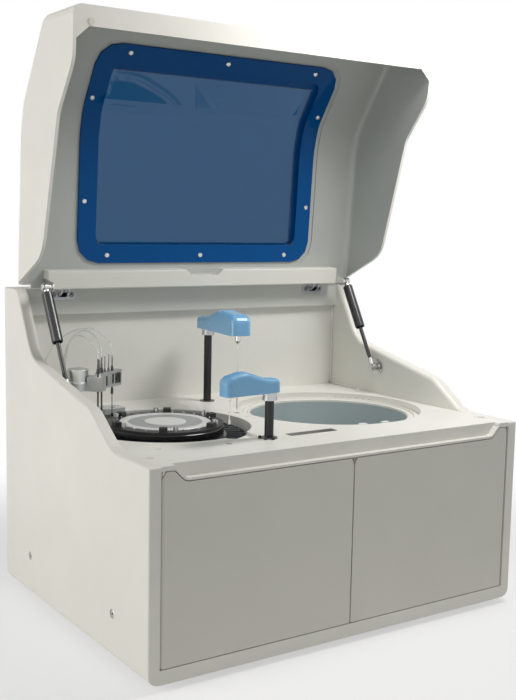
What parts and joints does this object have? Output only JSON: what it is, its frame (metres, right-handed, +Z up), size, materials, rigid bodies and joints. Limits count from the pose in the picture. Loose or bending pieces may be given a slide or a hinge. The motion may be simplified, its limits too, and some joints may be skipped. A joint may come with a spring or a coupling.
{
  "type": "benchtop chemistry analyzer",
  "caption": "Benchtop chemistry analyzer with a raised curved lid and window, a work deck with turntables and swinging arms, front doors and gas struts.",
  "frame": {"origin": "centre of the bounding box at floor level, under the feet", "axes": "+X to the right seen from the front, +Y to the back, +Z up"},
  "size_m": [0.8, 0.6, 1.0858],
  "materials": {
    "cream_moulding": "fine satin texture",
    "deck_moulding": "fine satin texture",
    "door_sheet": "satin paint",
    "grey_sheet": "satin paint",
    "rubber": "matt",
    "pale_rubber": "matt",
    "bright_steel": "brushed",
    "dark_steel": "dark oxide",
    "light_grey": "satin",
    "bowl_liner": "satin",
    "motor_black": "satin",
    "bare_aluminium": "machined",
    "black_plastic": "satin",
    "gloss_black": "gloss",
    "cuvette_grey": "semi-gloss",
    "white_plastic": "semi-gloss",
    "column_black": "black anodised",
    "arm_blue": "semi-gloss",
    "clear_tube": "clear",
    "blue_acrylic": "clear blue",
    "strut_black": "gloss paint",
    "switch_red": "gloss"
  },
  "bodies": {
    "cabinet": {"base_pan": "cream_moulding", "feet": "rubber", "left_side_panel": "cream_moulding", "right_side_panel": "cream_moulding", "rear_panel": "door_sheet", "rear_beam": "grey_sheet", "inner_rear_wall": "deck_moulding", "deck": "deck_moulding", "pocket_moulding": "deck_moulding", "wash_wells": "deck_moulding", "door_pins": "bright_steel", "incubation_bath": "light_grey", "reagent_bowl": "bowl_liner", "bowl_rim": "deck_moulding", "drive_motors": "motor_black", "lift_guides": "bright_steel", "column_bushes": "dark_steel", "wash_block": "light_grey", "wash_posts": "bright_steel", "hinge_plates": "dark_steel", "strut_studs": "bright_steel", "deck_pads": "pale_rubber", "scanner_window": "gloss_black", "power_inlet": "black_plastic", "syringe_pump": "bare_aluminium"},
    "left_door": {"left_door": "door_sheet"},
    "right_door": {"right_door": "door_sheet"},
    "turntable": {"reaction_disc": "gloss_black", "cuvette_ring": "cuvette_grey", "disc_cover": "white_plastic", "disc_clips": "black_plastic", "thumb_screws": "bright_steel"},
    "carousel": {"carousel_hub": "light_grey"},
    "probe_lift": {"rear_carriage": "bare_aluminium"},
    "probe_arm": {"rear_column": "column_black", "rear_collar": "bare_aluminium", "rear_arm_cover": "arm_blue", "probe_needle": "bright_steel"},
    "mixer_lift": {"front_carriage": "bare_aluminium"},
    "mixer_arm": {"front_column": "column_black", "front_collar": "bare_aluminium", "front_arm_cover": "arm_blue", "mixer_paddle": "bright_steel"},
    "washer": {"wash_head": "bare_aluminium", "wash_cap": "bright_steel", "wash_nozzles": "bright_steel", "wash_tubes": "clear_tube"},
    "lid": {"lid_shell": "cream_moulding", "lid_rear_bar": "cream_moulding", "lid_window": "blue_acrylic", "window_screws": "bright_steel", "lid_bumpers": "pale_rubber", "hinge_arms": "bright_steel", "strut_brackets": "bright_steel"},
    "left_rod": {"left_strut_rod": "strut_black"},
    "right_rod": {"right_strut_rod": "strut_black"},
    "left_cylinder": {"left_strut_cylinder": "strut_black"},
    "right_cylinder": {"right_strut_cylinder": "strut_black"},
    "rocker": {"power_switch": "switch_red"},
    "plunger": {"syringe_plunger": "dark_steel"}
  },
  "joints": [
    {"name": "left_door_hinge", "type": "hinge", "parent": "cabinet", "child": "left_door", "pos_m": [-0.3715, -0.294, 0.2], "axis": [0, 0, -1], "range_deg": [0, 100]},
    {"name": "right_door_hinge", "type": "hinge", "parent": "cabinet", "child": "right_door", "pos_m": [0.3715, -0.294, 0.2], "axis": [0, 0, 1], "range_deg": [0, 100]},
    {"name": "disc_spin", "type": "hinge", "parent": "cabinet", "child": "turntable", "pos_m": [-0.212, -0.01, 0.345], "axis": [0, 0, 1], "continuous": true},
    {"name": "carousel_spin", "type": "hinge", "parent": "cabinet", "child": "carousel", "pos_m": [0.17, -0.005, 0.263], "axis": [0, 0, 1], "continuous": true},
    {"name": "probe_lift_slide", "type": "slide", "parent": "cabinet", "child": "probe_lift", "axis": [0, 0, 1], "range_m": [-0.018, 0.03]},
    {"name": "probe_swing", "type": "hinge", "parent": "probe_lift", "child": "probe_arm", "pos_m": [-0.01, 0.175, 0.4], "axis": [0, 0, 1], "range_deg": [-40, 53]},
    {"name": "mixer_lift_slide", "type": "slide", "parent": "cabinet", "child": "mixer_lift", "axis": [0, 0, 1], "range_m": [-0.045, 0.02]},
    {"name": "mixer_swing", "type": "hinge", "parent": "mixer_lift", "child": "mixer_arm", "pos_m": [-0.112, -0.2, 0.4], "axis": [0, 0, 1], "range_deg": [-62, 0]},
    {"name": "washer_lift_slide", "type": "slide", "parent": "cabinet", "child": "washer", "axis": [0, 0, 1], "range_m": [0, 0.025]},
    {"name": "lid_hinge", "type": "hinge", "parent": "cabinet", "child": "lid", "pos_m": [0, 0.24, 0.598], "axis": [1, 0, 0], "range_deg": [0, 86]},
    {"name": "left_rod_tilt", "type": "hinge", "parent": "cabinet", "child": "left_rod", "pos_m": [-0.361, 0.085, 0.421], "axis": [1, 0, 0], "range_deg": [-18.47, 0]},
    {"name": "right_rod_tilt", "type": "hinge", "parent": "cabinet", "child": "right_rod", "pos_m": [0.361, 0.085, 0.421], "axis": [1, 0, 0], "range_deg": [-18.47, 0]},
    {"name": "left_cylinder_tilt", "type": "hinge", "parent": "lid", "child": "left_cylinder", "pos_m": [-0.361, 0.18796, 0.60388], "axis": [1, 0, 0], "range_deg": [-104.5, 0]},
    {"name": "right_cylinder_tilt", "type": "hinge", "parent": "lid", "child": "right_cylinder", "pos_m": [0.361, 0.18796, 0.60388], "axis": [1, 0, 0], "range_deg": [-104.5, 0]},
    {"name": "rocker_tilt", "type": "hinge", "parent": "cabinet", "child": "rocker", "pos_m": [0.29, 0.292, 0.101], "axis": [1, 0, 0], "range_deg": [0, 12]},
    {"name": "plunger_slide", "type": "slide", "parent": "cabinet", "child": "plunger", "axis": [0, 0, 1], "range_m": [-0.03, 0.01]}
  ],
  "couplings": [
    {"joint": "left_rod_tilt", "follows": "lid_hinge", "ratio": -0.2145},
    {"joint": "right_rod_tilt", "follows": "lid_hinge", "ratio": -0.2145},
    {"joint": "left_cylinder_tilt", "follows": "lid_hinge", "ratio": -1.2145},
    {"joint": "right_cylinder_tilt", "follows": "lid_hinge", "ratio": -1.2145}
  ]
}
